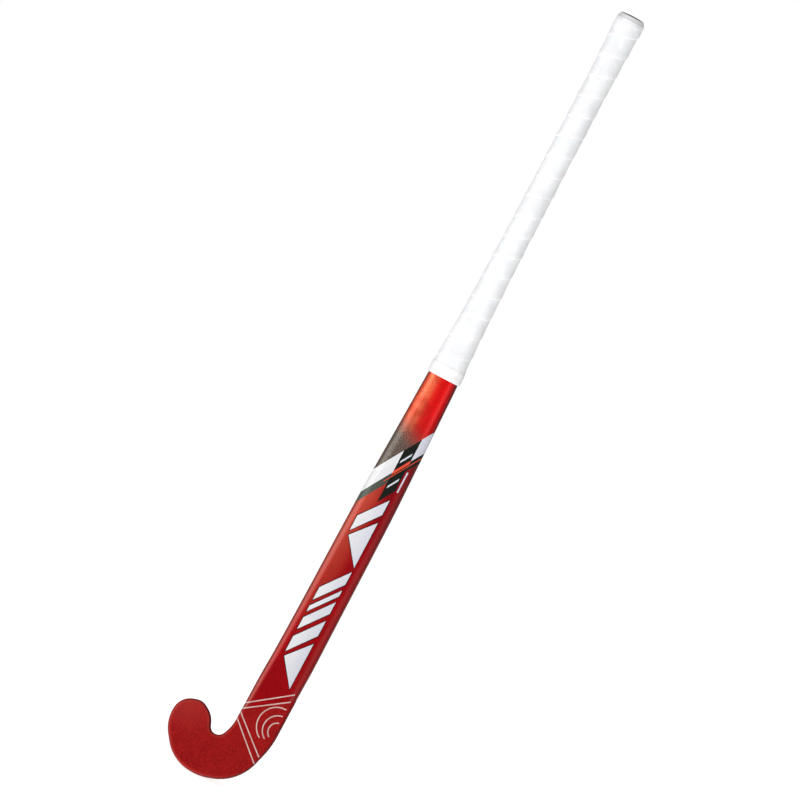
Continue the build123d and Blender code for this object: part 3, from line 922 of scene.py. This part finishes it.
def ripple_panel():
    """Orange-red metallic lacquer with rings like ripples on water, fading to grey at its foot; its orange
    at the toe side is painted highlight.
    """
    paint = Paint(
        "panel_paint", Metallic=0.5, Specular_IOR_Level=0.15,
        Coat_Weight=0.3, Coat_Roughness=0.12, Coat_IOR=1.45,
    )
    x, y, z = [paint.part(axis) for axis in "XYZ"]
    # the rings lie on the shaft's surface unrolled, stirred so that they aren't regular
    behind = paint.math("ADD", y, 13.1 * MM)
    unrolled = paint.math("ADD", x, paint.times(paint.math("SIGN", x), behind))
    flat = paint.add("CombineXYZ", {0: unrolled, 1: z}).outputs[0]
    stir = paint.add("TexNoise", {"Vector": flat, "Scale": 130.0, "Detail": 1.0}).outputs["Color"]
    pull = {0: stir, 1: (0.005, 0.005, 0.0), 2: flat}
    flat = paint.add("VectorMath", pull, operation="MULTIPLY_ADD").outputs[0]
    inputs = {"Vector": flat, "Scale": 75.0, "Randomness": 0.85}
    rings = paint.add("TexVoronoi", inputs, voronoi_dimensions="2D").outputs["Distance"]
    line = paint.fade(paint.math("SINE", paint.times(rings, 28.0)), -0.2, 0.9)
    # painted highlight and shade: orange at the toe side to a darker red at the heel side, a random darker
    # mottle, then a paler strip of painted highlight with painted shade past it
    warm = paint.blend(paint.fade(x, -0.007, 0.001), (0.88, 0.15, 0.062), (0.78, 0.014, 0.007))
    warm = paint.blend(paint.fade(x, 0.0, 0.005), warm, (0.70, 0.0008, 0.002))
    warm = paint.blend(paint.fade(paint.noise(95.0, 1.0), 0.40, 0.65, 0.0, 0.4), warm, (0.46, 0.0020, 0.002))
    warm = paint.blend(paint.fade(x, 0.0085, 0.0115), warm, (0.72, 0.018, 0.018))
    warm = paint.blend(paint.fade(x, 0.0125, 0.0145), warm, (0.58, 0.0008, 0.002))
    # down to the left it darkens and turns grey
    lift = paint.math("ADD", z, paint.times(x, 0.6))
    red = paint.fade(lift, FOOT_Z + 0.406, FOOT_Z + 0.440)
    dim = paint.fade(lift, FOOT_Z + 0.415, FOOT_Z + 0.475, 0.42, 0.0)
    warm = paint.blend(dim, warm, (0.20, 0.020, 0.012))
    grey = paint.blend(paint.fade(x, -0.016, -0.002), (0.150, 0.128, 0.104), (0.145, 0.095, 0.076))
    colour = paint.blend(red, grey, warm)
    # painted shade where the surface turns to the edges
    colour = paint.blend(paint.edge_shade(0.85, 0.84, 0.88), colour, (0.10, 0.003, 0.004))
    groove = paint.blend(red, (0.035, 0.025, 0.020), (0.11, 0.010, 0.008))
    colour = paint.blend(paint.times(line, paint.fade(red, 0.0, 1.0, 0.50, 0.17)), colour, groove)
    sparkle = paint.part("X", paint.cells(1900.0, output="Color"))
    rough = paint.fade(sparkle, 0.0, 1.0, 0.32, 0.44)
    normal = paint.bump(line, 0.015, paint.bump(sparkle, 0.008))
    paint.wire(Base_Color=colour, Roughness=rough, Normal=normal)


def gloss_paint(name, light, dark, rough=0.25, gloss=0.5, heel=None):
    """Gloss paint with a trace of orange peel; heel is the darker tone it fades to at the heel side, as
    painted shade.
    """
    paint = Paint(name, Coat_Weight=gloss, Coat_Roughness=0.08, Specular_IOR_Level=0.5 * gloss)
    tone = paint.fade(paint.noise(60.0, 3.0), 0.3, 0.7)
    speck = paint.fade(paint.noise(900.0, 1.0), 0.62, 0.75)
    colour = paint.blend(paint.times(speck, 0.3), paint.blend(tone, light, dark), dark)
    # painted shade: a fade to the heel tone at the heel side
    if heel:
        colour = paint.blend(paint.across(-0.016, 0.016), colour, heel)
    roughness = paint.fade(paint.noise(200.0), 0.3, 0.7, rough, rough + 0.12)
    normal = paint.bump(paint.noise(450.0, 1.0), 0.012)
    paint.wire(Base_Color=colour, Roughness=roughness, Normal=normal)


def grip_polymer():
    """Soft white tape with a fine leather-like grain and faint handling marks."""
    paint = Paint(
        "grip_tape", Sheen_Weight=0.25, Sheen_Roughness=0.5, Subsurface_Weight=0.08, Subsurface_Scale=0.004,
    )
    grain = paint.cells(1300.0, feature="SMOOTH_F1")
    mottle = paint.fade(paint.noise(30.0, 4.0), 0.35, 0.7)
    colour = paint.blend(mottle, (0.86, 0.848, 0.86), (0.80, 0.788, 0.80))
    colour = paint.blend(paint.fade(grain, 0.15, 0.6, 0.18, 0.0), colour, (0.70, 0.69, 0.70))
    rough = paint.fade(paint.noise(90.0), 0.3, 0.7, 0.48, 0.66)
    normal = paint.bump(grain, 0.05, paint.bump(paint.noise(160.0, 3.0), 0.25))
    paint.wire(Base_Color=colour, Roughness=rough, Normal=normal)


def plastic(name, light, dark, rough, grain_scale=900.0, grain=0.03, **sockets):
    """Moulded plastic or rubber with a fine grain."""
    paint = Paint(name, **sockets)
    colour = paint.blend(paint.fade(paint.noise(120.0, 3.0), 0.3, 0.7), light, dark)
    roughness = paint.fade(paint.noise(250.0), 0.3, 0.7, rough, rough + 0.15)
    normal = paint.bump(paint.noise(grain_scale, 3.0), grain)
    paint.wire(Base_Color=colour, Roughness=roughness, Normal=normal)


def foam(name, light, dark, scale):
    """Closed-cell foam."""
    paint = Paint(name, Roughness=0.9)
    cell = paint.cells(scale)
    colour = paint.blend(paint.fade(cell, 0.0, 0.6), dark, light)
    paint.wire(Base_Color=colour, Normal=paint.bump(cell, 0.3))


def woven(name, light, dark, pitch, rough, **sockets):
    """Two crossing sets of threads."""
    paint = Paint(name, **sockets)
    inputs = {"Vector": paint.where, "Rotation": (0.0, radians(45), 0.0)}
    inputs = {"Vector": paint.add("Mapping", inputs).outputs[0], "Scale": 0.314 / pitch}
    waves = [paint.add("TexWave", inputs, bands_direction=way).outputs["Fac"] for way in ("X", "Z")]
    threads = paint.math("MAXIMUM", *waves)
    roughness = paint.fade(threads, 0, 1, rough + 0.15, rough)
    colour = paint.blend(threads, dark, light)
    paint.wire(Base_Color=colour, Roughness=roughness, Normal=paint.bump(threads, 0.12))


candy_red()
coated_head()
ripple_panel()
# the white and dark paints fade to painted shade at the heel side
gloss_paint("white_paint", (0.76, 0.755, 0.76), (0.71, 0.705, 0.72), heel=(0.58, 0.59, 0.66))
gloss_paint("dark_paint", (0.085, 0.095, 0.078), (0.065, 0.075, 0.060), 0.3, 0.3, heel=(0.012, 0.008, 0.007))
gloss_paint("black_paint", (0.006, 0.008, 0.005), (0.004, 0.005, 0.004), 0.3, 0.25)
gloss_paint("orange_paint", (0.72, 0.075, 0.025), (0.62, 0.055, 0.02))
gloss_paint("silver_paint", (0.66, 0.47, 0.43), (0.56, 0.36, 0.33))
grip_polymer()
plastic("finishing_tape", (0.88, 0.87, 0.875), (0.82, 0.81, 0.815), 0.35, 500.0, 0.05)
plastic("cap_rubber", (0.90, 0.895, 0.91), (0.80, 0.795, 0.82), 0.5)
plastic("disc_plastic", (0.075, 0.077, 0.080), (0.050, 0.052, 0.054), 0.3)
plastic("damper_rubber", (0.05, 0.05, 0.055), (0.03, 0.03, 0.032), 0.7)
foam("head_foam", (0.62, 0.50, 0.30), (0.38, 0.28, 0.15), 900.0)
foam("core_foam", (0.72, 0.66, 0.50), (0.50, 0.44, 0.30), 700.0)
foam("plug_foam", (0.55, 0.50, 0.42), (0.36, 0.32, 0.26), 1200.0)
woven("rib_laminate", (0.06, 0.06, 0.065), (0.012, 0.012, 0.014), 0.002, 0.3, Coat_Weight=0.5)
woven("underwrap", (0.70, 0.69, 0.66), (0.45, 0.44, 0.42), 0.0009, 0.8, Sheen_Weight=0.4)


# --- pieces ---
def piece(name, shape, material, node, slot=None, crease=35):
    """Build a piece that rides with the stick and stands for a CAD node."""
    made = build(name, *shape, crease=crease)
    made.data.materials.append(materials[material])
    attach(made, "root")
    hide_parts(node)
    return made


laminate = wall(skin(0.0, SHELL_TOP), skin(-WALL, SHELL_TOP))
piece("stick_laminate", laminate, "painted_laminate", "laminate_shell")
coating_skins = [skin(lift, COATING_BLANK_TOP) for lift in (COATING_LIFT, COATING_LIFT - COATING_DEPTH)]
coating = piece("head_coating_skin", wall(*coating_skins), "head_coating", "head_coating")
cut_below_line(coating, *COATING_EDGE)

piece("ripple_panel", all_round(PANEL_FOOT, PANEL_TOP, GRIP_FOOT + 3), "panel_paint", "upper_panel_film")
white_parts = beside_column(BAND_FOOT, PANEL_FOOT - FILM_GAP)
piece("white_bands", joined(white_parts), "white_paint", "white_band_films")

dark_parts = [film(half_ring(-1), LINE_LEFT - FILM_GAP, DARK_FOOT, BAND_FOOT - FILM_GAP)]
for heights in ((DARK_FOOT, LINE_LOW - FILM_GAP), (LINE_HIGH + FILM_GAP, BAND_FOOT - FILM_GAP)):
    dark_parts += both_faces(*heights, LINE_LEFT, COLUMN_LEFT - FILM_GAP)
    dark_parts.append(film(half_ring(1), COLUMN_RIGHT + FILM_GAP, *heights))
piece("dark_bands", joined(dark_parts), "dark_paint", "dark_band_films")

column_parts = []
for heights in ((COLUMN_FOOT, LINE_LOW - FILM_GAP), (LINE_HIGH + FILM_GAP, PANEL_FOOT - FILM_GAP)):
    column_parts += both_faces(*heights, COLUMN_LEFT, COLUMN_RIGHT)
piece("black_column", joined(column_parts), "black_paint", "black_column_films")
line_parts = [film(half_ring(1), COLUMN_RIGHT, LINE_LOW, LINE_HIGH)]
line_parts += both_faces(LINE_LOW, LINE_HIGH, LINE_LEFT, COLUMN_RIGHT)
piece("orange_line", joined(line_parts), "orange_paint", "orange_line_film")
accent = strip(*ACCENT, COLUMN_LEFT, COLUMN_RIGHT, front_depth, ACCENT_LIFT)
piece("orange_bar", accent, "orange_paint", "orange_bar_decal")
tick_ends = (COLUMN_LEFT + TICK_INSET, COLUMN_RIGHT - TICK_INSET)
ticks = [strip(*heights, *tick_ends, front_depth, ACCENT_LIFT) for heights in TICKS]
piece("column_ticks", joined(ticks), "white_paint", "column_tick_decals")

blocks = [bar(*heights) for heights in BARS] + [fin(low) for low in FINS]
piece("white_blocks", joined([patch(corners) for corners in blocks]), "white_paint", "block_decals")
piece("block_outlines", joined([keyline(corners) for corners in blocks]), "black_paint", "block_keylines")
stripes = [trace([mix(start, end, k / 60) for k in range(61)]) for start, end in STRIPES]
piece("pinstripes", joined(stripes), "silver_paint", "pinstripe_decals", slot="white_paint")
arcs = [trace(arc_through(*points)) for points in ARCS]
piece("curved_lines", joined(arcs), "silver_paint", "arc_decals", slot="white_paint")
piece("side_line", patch(SIDE_LINE), "white_paint", "side_line_decal")

grip = piece("wound_grip", wound_grip(), "grip_tape", "grip_tape", crease=180)
level_ends(grip, GRIP_FOOT, GRIP_TOP)
piece("grip_finish_band", tape_band(*BAND_ENDS, BAND_LIFT, BAND_DEPTH), "finishing_tape", "finishing_tape")
piece("butt_cap", turned(CAP_PROFILE, CAP_SIDES, RIBBED_ROWS), "cap_rubber", "end_cap")
disc_profile = list(DISC_RIM)
for radius in DISC_GROOVES:
    dome = LENGTH - DISC_DOME * (radius / DISC_RIM[-1][0]) ** 2
    groove = [(0.35, -0.05), (0.15, -0.3), (-0.15, -0.3), (-0.35, 0.0)]
    disc_profile += [(radius + out, dome + rise) for out, rise in groove]
disc_profile.append((0, LENGTH))
piece("butt_disc", turned(disc_profile, DISC_SIDES), "disc_plastic", "cap_disc")

carried_over = {
    "head_core": "head_foam", "bridge_rib": "rib_laminate", "toe_side_core": "core_foam",
    "heel_side_core": "core_foam", "damper_sleeve": "damper_rubber", "butt_plug": "plug_foam",
    "grip_underwrap": "underwrap",
}
for node, material in carried_over.items():
    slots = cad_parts[node].data.materials
    slots.clear()
    slots.append(materials[material])

# --- studio ---
FLOOR_HALF = 6000.0
CAMERA_DISTANCE = 8.495
centre = Vector((-29.35, -12.0, 451.5 + FOOT_HEIGHT)) * MM


def area_light(name, place_at, size, power):
    """A soft rectangular light aimed at the middle of the stick."""
    light = bpy.data.lights.new(name, "AREA")
    light.shape = "RECTANGLE"
    light.size, light.size_y = size
    light.energy = power
    made = linked(name, light)
    made.location = centre + Vector(place_at)
    made.rotation_euler = (-Vector(place_at)).to_track_quat("-Z", "Y").to_euler()
    made.visible_camera = False


area_light("key", (-1.75, -1.75, 0.4), (1.7, 2.4), 38.0)
area_light("front", (1.0, -1.9, 0.75), (1.1, 1.2), 17.0)
area_light("heel_rim", (1.5, 0.1, 0.0), (0.12, 1.6), 1.6)

world = bpy.data.worlds.new("studio")
world.use_nodes = True
sky = world.node_tree
rays = sky.nodes.new("ShaderNodeLightPath")
shade = sky.nodes.new("ShaderNodeMapRange")
shade.inputs["To Min"].default_value = 0.055
sky.links.new(rays.outputs["Is Camera Ray"], shade.inputs["Value"])
sky.links.new(shade.outputs["Result"], sky.nodes["Background"].inputs["Strength"])
sky.nodes["Background"].inputs["Color"].default_value = (1.0, 1.0, 1.0, 1.0)
bpy.context.scene.world = world
bpy.context.scene.view_settings.view_transform = "Standard"

floor_paint = Paint("studio_floor", Roughness=0.9)
floor_tone = floor_paint.blend(floor_paint.noise(3.0), (0.93, 0.93, 0.93), (0.90, 0.90, 0.90))
near_foot = {0: floor_paint.where, 1: (-0.03, 0.0, FOOT_Z)}
from_foot = floor_paint.add("VectorMath", near_foot, operation="DISTANCE")
glow = floor_paint.fade(from_foot.outputs["Value"], 0.05, 0.6, 0.84, 1.0)
floor_paint.wire(Base_Color=floor_tone, Emission_Strength=glow)
floor_z = min(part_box("head_coating")[0].z, cad_bounds[0].z) / MM - 0.2
floor_corners = [(x * FLOOR_HALF, y * FLOOR_HALF, floor_z) for x, y in ((-1, -1), (1, -1), (1, 1), (-1, 1))]
floor = build("floor", floor_corners, [(0, 1, 2, 3)])
floor.data.materials.append(materials["studio_floor"])

# the camera stands a little to the heel side and is rolled, so that the stick leans to the right
azimuth, elevation, lean = radians(4.6), radians(2.2), radians(27.67)
back = Vector((sin(azimuth) * cos(elevation), -cos(azimuth) * cos(elevation), sin(elevation)))
lens = bpy.data.cameras.new("camera")
lens.lens, lens.sensor_width = 360.0, 36.0
camera = linked("camera", lens)
turned_to = back.to_track_quat("Z", "Y").to_matrix().to_4x4() @ Matrix.Rotation(lean, 4, "Z")
camera.matrix_world = Matrix.Translation(centre + back * CAMERA_DISTANCE) @ turned_to
bpy.context.scene.camera = camera
